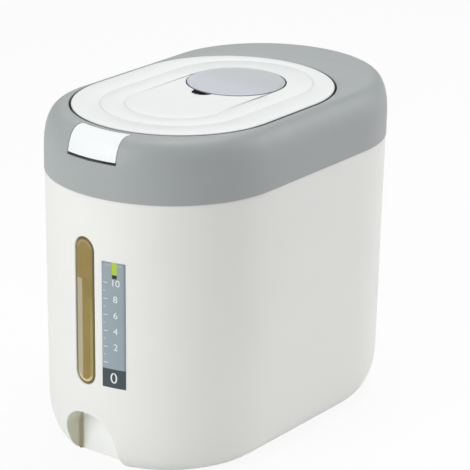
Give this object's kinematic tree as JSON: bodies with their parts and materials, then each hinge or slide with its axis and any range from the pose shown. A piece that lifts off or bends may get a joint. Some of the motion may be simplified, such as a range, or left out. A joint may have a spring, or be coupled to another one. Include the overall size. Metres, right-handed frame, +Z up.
{
  "type": "rice bucket",
  "caption": "Free-standing rice bucket with a hinged flush lid, a front push flap, a sight window and a lift-out desiccant cap.",
  "frame": {"origin": "centre of the flat base, on the surface it stands on", "axes": "+Z up, -Y out of the front with the push flap, +Y along the length to the hinge, +X across the width"},
  "size_m": [0.185, 0.305, 0.26],
  "materials": {
    "bucket_white": "smooth moulded plastic, satin",
    "window_amber": "translucent amber, polished",
    "seal_grey": "soft seal",
    "label_grey": "printed film, semi-gloss",
    "collar_grey": "smooth moulded plastic, satin",
    "inner_grey": "plain moulded plastic",
    "screw_steel": "zinc-plated",
    "button_white": "smooth moulded plastic, gloss",
    "pin_steel": "drawn wire",
    "inner_white": "plain moulded plastic",
    "spring_steel": "spring wire",
    "lid_white": "smooth moulded plastic, satin",
    "gasket_white": "soft seal",
    "cap_grey": "smooth moulded plastic, satin"
  },
  "bodies": {
    "root": {"bucket": "bucket_white", "sight_window": "window_amber", "window_gasket": "seal_grey", "level_label": "label_grey", "collar": "collar_grey", "latch_housing": "inner_grey", "latch_housing_screws": "screw_steel", "latch_pin": "pin_steel", "latch_spring": "spring_steel", "hinge_housing": "inner_grey", "hinge_housing_screws": "screw_steel", "hinge_pin": "pin_steel", "hinge_spring_left": "spring_steel", "hinge_spring_right": "spring_steel"},
    "lid": {"lid_cover": "lid_white", "lid_liner": "inner_white", "lid_gasket": "gasket_white", "desiccant_cup": "inner_white", "lid_hinge_bracket": "inner_white", "hinge_bracket_screws": "screw_steel"},
    "cap": {"desiccant_cap": "cap_grey", "cap_seal": "gasket_white"},
    "button": {"latch_button": "button_white"},
    "slider": {"latch_slider": "inner_white"}
  },
  "joints": [
    {"name": "lid_hinge", "type": "hinge", "parent": "root", "child": "lid", "pos_m": [0, 0.114, 0.252], "axis": [-1, 0, 0], "range_deg": [0, 95]},
    {"name": "cap_lift", "type": "slide", "parent": "lid", "child": "cap", "axis": [0, 0, 1], "range_m": [0, 0.025]},
    {"name": "button_press", "type": "hinge", "parent": "root", "child": "button", "pos_m": [0, -0.1385, 0.252], "axis": [1, 0, 0], "range_deg": [0, 8], "stiffness_Nm_per_rad": 0.033, "springref_deg": -2.86},
    {"name": "slider_push", "type": "slide", "parent": "root", "child": "slider", "axis": [0, 1, 0], "range_m": [0, 0.0017], "deforming": ["latch_spring"]}
  ],
  "couplings": [
    {"joint": "slider_push", "follows": "button_press", "m_per_rad": 0.0105}
  ]
}
